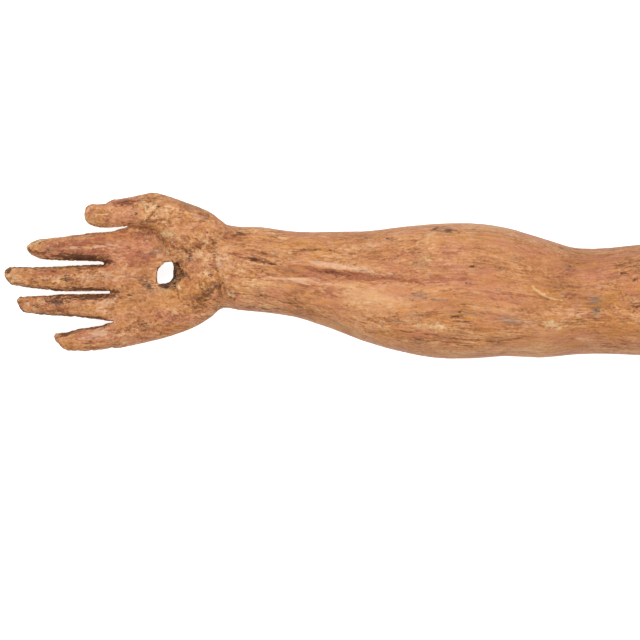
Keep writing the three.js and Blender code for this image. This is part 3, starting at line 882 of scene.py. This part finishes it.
        # At a scale of one the texture has a ring every pi / 10 units.
        rings = node("TexWave", {"Vector": from_pith, "Scale": math.pi / (10 * self.ring_mm),
                                 "Distortion": 2.5, "Detail": 2.0, "Detail Scale": 0.2},
                     wave_type="RINGS", rings_direction="X", wave_profile="SAW")
        tint = node("MapRange", {"Value": rings, "To Min": 0.25, "To Max": 0.85})
        cover = node("Math", {0: tint, 1: face}, operation="MULTIPLY")
        over = linear(self.ring_colour)
        return node("Mix", {"Factor_Float": cover, "A_Color": colour, "B_Color": over}, data_type="RGBA")

    def build(self) -> Material:
        """Build the material.

        Returns:
            The material.
        """
        material, node = new_material(self.name)
        in_mm = node("VectorMath", {0: node("TexCoord").outputs["Object"], 1: TO_MM}, operation="MULTIPLY")
        slow = node("VectorMath", {0: in_mm, 1: self.wander_size_mm}, operation="DIVIDE")
        drift = node("TexNoise", {"Vector": slow, "Scale": 1.0, "Detail": 1.0}).outputs["Color"]
        wander = (self.wander_mm,) * 3
        straight = node("VectorMath", {0: drift, 1: wander, 2: in_mm}, operation="MULTIPLY_ADD")
        drop, calm, lively = (node("Attribute", attribute_name=name).outputs["Fac"]
                              for name in ("drop", "calm", "lively"))
        place = node("VectorMath", {0: straight, 1: node("CombineXYZ", {1: drop})}, operation="ADD")
        hand_ends, arm_starts = self.wrist_mm
        hand = node("MapRange", {"Value": node("SeparateXYZ", {0: in_mm}), "From Min": arm_starts,
                                 "From Max": hand_ends}, interpolation_type="SMOOTHSTEP")
        arm = node("Math", {0: 1.0, 1: hand}, operation="SUBTRACT")
        patches = self.noise(node, place, *self.busy_mm, 90)
        busy = node("MapRange", {"Value": patches, "From Min": 0.35, "From Max": 0.65, "To Min": self.calmest,
                                 "To Max": self.busiest})
        rough = node("MapRange", {"Value": calm, "To Min": 1.0, "To Max": 0.3})
        rough = node("Math", {0: lively, 1: 0.5, 2: rough}, operation="MULTIPLY_ADD")
        busy = node("Math", {0: busy, 1: rough}, operation="MULTIPLY")
        parts = {region: node("Math", {0: part, 1: busy}, operation="MULTIPLY")
                 for region, part in ((Region.HAND, hand), (Region.ARM, arm))}

        tone = self.tone(node, place, parts)
        colour = node("ValToRGB", {0: tone})
        ramp = colour.color_ramp
        ramp.elements.remove(ramp.elements[1])
        ramp.elements[0].color = linear(self.stops[0][1])
        for position, shade in self.stops[1:]:
            ramp.elements.new(position).color = linear(shade)
        # The wood's own texture shows through every coating.
        shade = node("MapRange", {"Value": tone, "From Min": 0.15, "From Max": 0.95, "To Min": 0.74,
                                  "To Max": 1.14})
        for number, layer in enumerate(self.layers):
            value = self.noise(node, place, layer.along, layer.across, number + 20)
            over = linear(layer.colour)
            middle = 0.0
            if layer.mask:
                mask = node("Attribute", attribute_name=layer.mask).outputs["Fac"]
                value = node("Math", {0: value, 1: layer.ragged, 2: mask}, operation="MULTIPLY_ADD")
                over = node("VectorMath", {0: over[:3], "Scale": shade}, operation="SCALE")
                middle = layer.ragged / 2
            factor = node("MapRange", {"Value": value, "From Min": layer.low + middle,
                                       "From Max": layer.high + middle, "To Max": layer.strength},
                          interpolation_type="SMOOTHSTEP")
            if layer.region in parts:
                factor = node("Math", {0: factor, 1: parts[layer.region]}, operation="MULTIPLY")
            colour = node("Mix", {"Factor_Float": factor, "A_Color": colour, "B_Color": over},
                          data_type="RGBA")
        colour = self.end_grain(node, in_mm, colour)

        # Fine fibres and pores for the bump. The real ones are about 0.1 mm; these are as coarse as shows.
        fibres = self.noise(node, place, 6.0, 0.8, 50)
        height = node("Math", {0: tone, 1: 1.2, 2: fibres}, operation="MULTIPLY_ADD")
        bump = node("Bump", {"Strength": 0.5, "Distance": 0.3 * MM, "Height": height})
        gloss = node("MapRange", {"Value": fibres, "From Min": 0.3, "From Max": 0.7,
                                  "To Min": self.roughness - 0.08, "To Max": self.roughness + 0.1})
        shader = node("BsdfPrincipled", {"Base Color": colour, "Roughness": gloss, "IOR": 1.47,
                                         "Specular IOR Level": 0.3, "Normal": bump})
        node("OutputMaterial", {"Surface": shader})
        return material


@dataclass
class CarvedArm:
    """The arm itself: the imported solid's own mesh, refined, smoothed, cut, weathered and dressed."""

    cell: float = 0.60 * MM
    most_triangles: int = 192_000
    hand_ends: float = -0.165
    arm_starts: float = -0.105
    squeeze_along: float = 0.32
    squeeze_across: float = 0.80
    smoothing_rounds: int = 90
    softening_rounds: int = 50
    nail_hole: tuple[float, float, float, float] = (130.5, -0.5, 12.6, 13.5)
    hole_heights: Span = (6.0, 21.0)
    # Where the arm's middle line sinks and the grain with it: from and to along the arm, and how far.
    drops: tuple[tuple[float, float, float], ...] = ((150, 310, 16.0), (350, 440, 9.0))
    # Along the arm in millimetres: the fingers' roots, and where the flakes and the hand's look end.
    finger_roots: Span = (98.0, 108.0)
    flakes_end: Span = (140.0, 165.0)
    hand_look_ends: Span = (160.0, 200.0)
    # Across it in millimetres: where the slots start and end, and where the one under the thumb ends.
    slots_start: Span = (-50.0, -44.0)
    slots_end: Span = (12.0, 18.0)
    thumb_slot_ends: Span = (40.0, 46.0)
    # How far the sides of the slot beside the index finger swell back into it, in millimetres.
    slot_swell: float = 0.4
    joint_face: float = 0.348
    face_margin: float = 0.0022

    def squeezed(self, points: np.ndarray, back: bool = False) -> np.ndarray:
        """Squeeze the arm past the wrist, so that the remesh makes larger cells there, long in the grain.

        Args:
            points: Places on the arm.
            back: Whether to undo the squeeze instead.

        Returns:
            The moved places.
        """
        real = np.linspace(-0.36, 0.36, 2881)
        part = smooth_step(self.hand_ends, self.arm_starts, real)
        slope = 1.0 + (self.squeeze_along - 1.0) * part
        steps = (slope[1:] + slope[:-1]) / 2 * np.diff(real)
        short = real[0] + np.concatenate(([0.0], np.cumsum(steps)))
        thickness = 1.0 + (self.squeeze_across - 1.0) * part
        moved = points.copy()
        if back:
            moved[:, 0] = np.interp(points[:, 0], short, real)
            moved[:, 1:] /= np.interp(moved[:, 0], real, thickness)[:, None]
        else:
            moved[:, 0] = np.interp(points[:, 0], real, short)
            moved[:, 1:] *= np.interp(points[:, 0], real, thickness)[:, None]
        return moved

    def refined(self) -> Object:
        """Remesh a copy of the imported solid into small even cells.

        Returns:
            The object with the fine mesh.
        """
        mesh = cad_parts["arm"].data.copy()
        mesh.materials.clear()
        shell = bmesh.new()
        shell.from_mesh(mesh)
        bmesh.ops.remove_doubles(shell, verts=shell.verts, dist=1e-6)
        shell.to_mesh(mesh)
        shell.free()
        write_points(mesh, self.squeezed(points_of(mesh)))
        obj = new_object("carved_arm", mesh)
        remesh = obj.modifiers.new("cells", "REMESH")
        remesh.mode = "VOXEL"
        remesh.voxel_size = self.cell
        remesh.adaptivity = 0.0
        remesh.use_smooth_shade = True
        plain_mesh(obj)
        return obj

    def relaxed(self, points: np.ndarray, edges: np.ndarray, pulls: list[float]) -> np.ndarray:
        """Pull each point towards the middle of its neighbours, or push it away.

        Args:
            points: The points.
            edges: Pairs of point numbers.
            pulls: How far each round moves them: positive pulls and negative pushes.

        Returns:
            The moved points.
        """
        count = len(points)
        degree = np.bincount(edges.ravel(), minlength=count)[:, None]
        one, other = edges[:, 0], edges[:, 1]
        for pull in pulls:
            total = np.stack([np.bincount(one, points[other, axis], count)
                              + np.bincount(other, points[one, axis], count) for axis in range(3)], axis=1)
            points = points + pull * (total / degree - points)
        return points

    def smooth(self, obj: Object) -> None:
        """Lose the solid's facets without thinning the fingers, and stretch the arm to its length again.

        Args:
            obj: The refined object.
        """
        mesh = obj.data
        edges = np.empty(len(mesh.edges) * 2, np.int32)
        mesh.edges.foreach_get("vertices", edges)
        edges = edges.reshape(-1, 2)
        points = self.relaxed(points_of(mesh), edges, [0.5, -0.53] * self.smoothing_rounds)
        softer = self.relaxed(points, edges, [0.6] * self.softening_rounds)
        write_points(mesh, points)
        lift = np.einsum("ij,ij->i", points - softer, points_of(mesh, "normal")) / MM
        write_attribute(mesh, "relief", lift)
        write_points(mesh, self.squeezed(points, back=True))

    def carve(self, obj: Object) -> None:
        """Sink the cuts and store what the weathering and the material read.

        Args:
            obj: The smoothed object.
        """
        mesh = obj.data
        points = points_of(mesh)
        normals = points_of(mesh, "normal")
        along = points[:, 0] / MM - FINGERTIPS_AT
        across = points[:, 1] / MM - MIDDLE_LINE_AT
        height = points[:, 2] / MM
        facing = normals[:, 2]
        flatness = np.abs(facing)
        coats = {name: np.zeros(len(points)) for name in COATINGS}
        depth = np.zeros(len(points))
        cavity = np.zeros(len(points))
        for cut in (*CUTS, *Nails().cuts()):
            mark = cut.mark(along, across, facing)
            depth += mark * cut.depth_mm
            cavity = np.maximum(cavity, mark * cut.dirt)
            coats["gesso"] = np.maximum(coats["gesso"], mark * cut.bare)
        hole_u, hole_v, reach_u, reach_v = self.nail_hole
        from_hole = np.hypot((along - hole_u) / reach_u, (across - hole_v) / reach_v)
        wall = (1.0 - smooth_step(0.8, 1.1, from_hole)) * (1.0 - smooth_step(0.3, 0.75, flatness))
        deep = 1.0 - smooth_step(*self.hole_heights, height)
        fingers = 1.0 - smooth_step(*self.finger_roots, along)
        past_slots = smooth_step(*self.slots_end, across)
        under_thumb = 0.5 * past_slots * (1.0 - smooth_step(*self.thumb_slot_ends, across))
        slot = fingers * smooth_step(*self.slots_start, across) * np.maximum(1.0 - past_slots, under_thumb)
        slot *= 1.0 - smooth_step(0.4, 0.92, flatness)
        # Painted shade: the nail hole's walls grow darker the deeper they go, and the slots between the
        # fingers and, at half strength, the valley under the thumb are darkened.
        coats["dirt"] = np.maximum(wall * (0.1 + 0.9 * deep), slot * 0.8)
        palm_side = smooth_step(-0.1, 0.25, facing)
        for stain in (*HAND_STAINS, *FOREARM_STAINS, *ELBOW_STAINS):
            cover = stain.cover(along, across) * palm_side
            for name in COATINGS:
                coats[name] = np.maximum(coats[name], cover * getattr(stain, name))
        side = fingers * (1.0 - smooth_step(0.2, 0.6, flatness))
        by_the_index = smooth_step(0, 4, across) * (1.0 - smooth_step(16, 20, across))
        depth -= self.slot_swell * side * by_the_index
        open_face = 1.0 - smooth_step(self.joint_face - 4 * MM, self.joint_face - 2 * MM, points[:, 0])
        points -= normals * (depth * open_face * MM)[:, None]
        write_points(mesh, points)
        from_joint = points[:, 0] / MM - self.joint_face / MM
        stored = {
            "cavity": cavity,
            "open_face": open_face,
            "hand": 1.0 - smooth_step(*self.hand_look_ends, along),
            "splintered": wall * smooth_step(16, 24, height) * smooth_step(134, 137, along),
            "flaking": smooth_step(0.4, 0.9, coats["gesso"]) * (1.0 - smooth_step(*self.flakes_end, along)),
            "torn": np.maximum(wall * (1.0 - 0.5 * deep), 0.45 * side),
            "end_grain": smooth_step(-2.4, -2.0, from_joint) * smooth_step(0.5, 0.8, normals[:, 0]),
            "drop": sum(drop * smooth_step(start, end, along) for start, end, drop in self.drops),
            **coats,
        }
        for name, values in stored.items():
            write_attribute(mesh, name, values)

    def thin(self, obj: Object) -> None:
        """Merge the flattest cells until the arm is light enough.

        Args:
            obj: The weathered object.
        """
        triangles = sum(len(face.vertices) - 2 for face in obj.data.polygons)
        merge = obj.modifiers.new("light", "DECIMATE")
        merge.ratio = self.most_triangles / triangles
        plain_mesh(obj)

    def fit(self, obj: Object) -> None:
        """Square the joint face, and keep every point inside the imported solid's box.

        Args:
            obj: The weathered object.
        """
        points = points_of(obj.data)
        normals = points_of(obj.data, "normal")
        on_face = (points[:, 0] > self.joint_face - self.face_margin) & (normals[:, 0] > 0.6)
        points[on_face, 0] = self.joint_face
        write_points(obj.data, points)
        keep_inside(obj.data)

    def build(self, material: Material) -> Object:
        """Make the arm.

        Args:
            material: Its wood.

        Returns:
            The finished object, riding on the root body.
        """
        obj = self.refined()
        self.smooth(obj)
        self.carve(obj)
        Grain().sink(obj, material)
        self.thin(obj)
        self.fit(obj)
        obj.data.shade_smooth()
        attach(obj, "root")
        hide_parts("arm")
        return obj


@dataclass(frozen=True)
class Remains:
    """The finish of the small remains: chalk and glue gesso in flakes, or bare torn wood fibre.

    The eye sees matt crumbs, paler than the waxed wood, with grey dirt on them.
    """

    name: str
    colour: str
    dirty: str
    roughness: float = 0.85

    def build(self) -> Material:
        """Build the material.

        Returns:
            The material.
        """
        material, node = new_material(self.name)
        in_mm = node("VectorMath", {0: node("TexCoord").outputs["Object"], 1: TO_MM}, operation="MULTIPLY")
        stains = node("TexNoise", {"Vector": in_mm, "Scale": 0.5, "Detail": 3.0})
        factor = node("MapRange", {"Value": stains, "From Min": 0.35, "From Max": 0.65})
        colour = node("Mix", {"Factor_Float": factor, "A_Color": linear(self.colour),
                              "B_Color": linear(self.dirty)}, data_type="RGBA")
        grit = node("TexNoise", {"Vector": in_mm, "Scale": 2.5, "Detail": 2.0})
        bump = node("Bump", {"Strength": 0.4, "Distance": 0.2 * MM, "Height": grit})
        shader = node("BsdfPrincipled", {"Base Color": colour, "Roughness": self.roughness, "IOR": 1.5,
                                         "Specular IOR Level": 0.25, "Normal": bump})
        node("OutputMaterial", {"Surface": shader})
        return material


class Crumb(Enum):
    """What is scattered over the wood."""

    FLAKE = "flake"
    FIBRE = "fibre"


@dataclass(frozen=True)
class Scatter:
    """Small remains that Geometry Nodes scatter where an attribute of the wood asks for them. Sizes in mm."""

    name: str
    crumb: Crumb
    where: str
    length: float
    width: float
    thickness: float
    apart: float
    per_square_cm: float
    finish: Remains
    seed: int

    def crumbs(self, node: partial, points: Node, given: bpy_prop_collection) -> dict:
        """Make one crumb, and say how it is turned and scaled at each point.

        Args:
            node: Adds a node to the tree.
            points: The node that spreads the points.
            given: The tree's inputs.

        Returns:
            The crumb's instance, rotation and scale.
        """
        size = node("RandomValue", {"Min_001": 0.5, "Max_001": 1.4, "Seed": given["Seed"]}, data_type="FLOAT")
        if self.crumb is Crumb.FLAKE:
            shape = node("MeshIcoSphere", {"Radius": 0.5, "Subdivisions": 1})
            spin = node("RandomValue", {"Min_001": 0.0, "Max_001": math.tau, "Seed": given["Seed"]},
                        data_type="FLOAT")
            about_z = node("EulerToRotation", {"Euler": node("CombineXYZ", {2: spin})})
            turn = node("RotateRotation", {"Rotation": points.outputs["Rotation"], "Rotate By": about_z},
                        rotation_space="LOCAL")
            sides = {0: given["Length"], 1: given["Width"], 2: given["Thickness"]}
        else:
            shape = node("MeshCone", {"Vertices": 5, "Radius Top": 0.15, "Radius Bottom": 0.5, "Depth": 1.0})
            way = node("RandomValue", {"Min": (-1.0, -0.5, -0.2), "Max": (-0.7, 0.5, 0.6),
                                       "Seed": given["Seed"]}, data_type="FLOAT_VECTOR")
            turn = node("AlignRotationToVector", {"Vector": way}, axis="Z")
            sides = {0: given["Width"], 1: given["Thickness"], 2: given["Length"]}
        scale = node("VectorMath", {0: node("CombineXYZ", sides), "Scale": size}, operation="SCALE")
        return {"Instance": shape, "Rotation": turn, "Scale": scale}

    def build(self, arm: Object) -> Object:
        """Scatter the crumbs over the arm.

        Args:
            arm: The finished arm.

        Returns:
            The object with all of them, riding on the root body.
        """
        sizes = {"Length": self.length * MM, "Width": self.width * MM, "Thickness": self.thickness * MM,
                 "Apart": self.apart * MM, "Density": self.per_square_cm * PER_SQUARE_M}
        recipe = Recipe(self.name, {**sizes, "Seed": self.seed, "Material": self.finish.build()})
        node, given = recipe.node, recipe.given
        wanted = node("InputNamedAttribute", {"Name": self.where}, data_type="FLOAT").outputs[0]
        points = node("DistributePointsOnFaces", {
            "Mesh": given["Geometry"], "Distance Min": given["Apart"], "Density Max": given["Density"],
            "Density Factor": wanted, "Seed": given["Seed"]}, distribute_method="POISSON")
        placed = node("InstanceOnPoints", {"Points": points.outputs["Points"],
                                           **self.crumbs(node, points, given)})
        obj = new_object(self.name, arm.data.copy())
        recipe.run(obj, placed)
        keep_inside(obj.data)
        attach(obj, "root")
        return obj


TORN_FIBRE = Remains("bare_torn_wood_fibre", "#b3906c", "#7d6350")
OLD_GESSO = Remains("old_chalk_gesso", "#e9cfa2", "#c09a6c")


@dataclass
class Splinters:
    """The long fibres left hanging across the nail hole where the nail tore the wood."""

    # Each fibre's root and its tip, along and across the arm and above the table, and its width.
    fibres: tuple[tuple[Place, Place, float], ...] = (
        ((147.2, 0.2, 33.2), (138.4, -3.4, 26.5), 1.8),
        ((145.6, 0.9, 31.6), (136.4, -2.2, 21.5), 1.1),
        ((139.6, -6.4, 29.4), (133.4, -4.6, 21.0), 1.2),
        ((130.3, -11.6, 28.6), (134.0, -8.8, 29.0), 1.3),
        ((139.2, -7.0, 30.0), (132.8, -9.3, 28.9), 1.3),
    )
    sides: int = 5

    def build(self) -> Object:
        """Make the fibres.

        Returns:
            The object with all of them, riding on the root body.
        """
        shell = bmesh.new()
        for root, tip, width in self.fibres:
            start, end = (Vector(((u + FINGERTIPS_AT) * MM, (v + MIDDLE_LINE_AT) * MM, w * MM))
                          for u, v, w in (root, tip))
            way = end - start
            place = Matrix.Translation((start + end) / 2) @ way.to_track_quat("Z", "Y").to_matrix().to_4x4()
            bmesh.ops.create_cone(shell, cap_ends=True, segments=self.sides, radius1=width * MM / 2,
                                  radius2=width * MM / 5, depth=way.length, matrix=place)
        mesh = bpy.data.meshes.new("hole_splinters")
        shell.to_mesh(mesh)
        shell.free()
        mesh.materials.append(TORN_FIBRE.build())
        obj = new_object("hole_splinters", mesh)
        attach(obj, "root")
        return obj


@dataclass
class Studio:
    """A plain pale table, soft light and the camera above the palm."""

    floor_size: float = 8.0
    floor_glow: float = 0.8
    room_light: float = 0.5
    # Where along the arm the lights point.
    aim: float = -0.05
    view_middle: Point = (-0.096, -0.034)
    view_width: float = 0.512
    view_height: float = 0.020
    lens_mm: float = 400.0
    sensor_mm: float = 36.0

    def floor(self) -> None:
        """Lay the table."""
        half = self.floor_size / 2
        corners = [(-half, -half, 0), (half, -half, 0), (half, half, 0), (-half, half, 0)]
        mesh = bpy.data.meshes.new("pale_table")
        mesh.from_pydata(corners, [], [(0, 1, 2, 3)])
        material, node = new_material("matt_white_paper")
        shader = node("BsdfPrincipled", {"Base Color": linear("#e8e8e8"), "Roughness": 0.9,
                                         "Emission Color": linear("#ffffff"),
                                         "Emission Strength": self.floor_glow})
        node("OutputMaterial", {"Surface": shader})
        mesh.materials.append(material)
        floor = new_object("pale_table", mesh)
        floor.visible_diffuse = False

    def light(self, name: str, place: Place, size: float, watts: float) -> None:
        """Hang a soft light that points at the middle of the arm.

        Args:
            name: The light's name.
            place: Where it hangs.
            size: The side of its square.
            watts: Its power.
        """
        data = bpy.data.lights.new(name, "AREA")
        data.size = size
        data.energy = watts
        lamp = bpy.data.objects.new(name, data)
        x, y, z = place
        lamp.location = place
        off = x - self.aim
        lamp.rotation_euler = (math.atan2(math.hypot(off, y), z), 0.0, math.atan2(off, -y))
        bpy.context.scene.collection.objects.link(lamp)

    def camera(self) -> None:
        """Set the camera straight above, with the photograph's top towards the thumb."""
        data = bpy.data.cameras.new("above_palm")
        data.lens = self.lens_mm
        data.sensor_width = self.sensor_mm
        camera = bpy.data.objects.new("above_palm", data)
        distance = self.view_width * self.lens_mm / self.sensor_mm
        camera.location = (*self.view_middle, self.view_height + distance)
        bpy.context.scene.collection.objects.link(camera)
        bpy.context.scene.camera = camera

    def build(self) -> None:
        """Make the floor, the lights, the world and the camera."""
        self.floor()
        self.light("key_from_the_top", (-0.3, 0.95, 1.8), 1.2, 22.0)
        self.light("fill_from_below", (0.1, -0.9, 2.0), 1.8, 12.5)
        world = bpy.data.worlds.new("pale_room")
        world.use_nodes = True
        background = world.node_tree.nodes["Background"]
        background.inputs["Color"].default_value = linear("#ffffff")
        background.inputs["Strength"].default_value = self.room_light
        bpy.context.scene.world = world
        bpy.context.scene.view_settings.view_transform = "Standard"
        self.camera()


def main() -> None:
    """Build the arm and the studio."""
    logging.basicConfig(level=logging.INFO, format="%(message)s")
    Studio().build()
    wood = WeatheredWood().build()
    arm = CarvedArm().build(wood)
    flakes = Scatter("gesso_flakes", Crumb.FLAKE, "flaking", 1.5, 1.0, 0.3, 1.5, 6.0, OLD_GESSO, 3)
    fibres = Scatter("hole_fibres", Crumb.FIBRE, "splintered", 3.6, 0.6, 0.45, 1.4, 8.0, TORN_FIBRE, 5)
    for piece in (arm, flakes.build(arm), fibres.build(arm), Splinters().build()):
        triangles = sum(len(face.vertices) - 2 for face in piece.data.polygons)
        log.info("%s: %d triangles", piece.name, triangles)


if __name__ == "__main__":
    main()
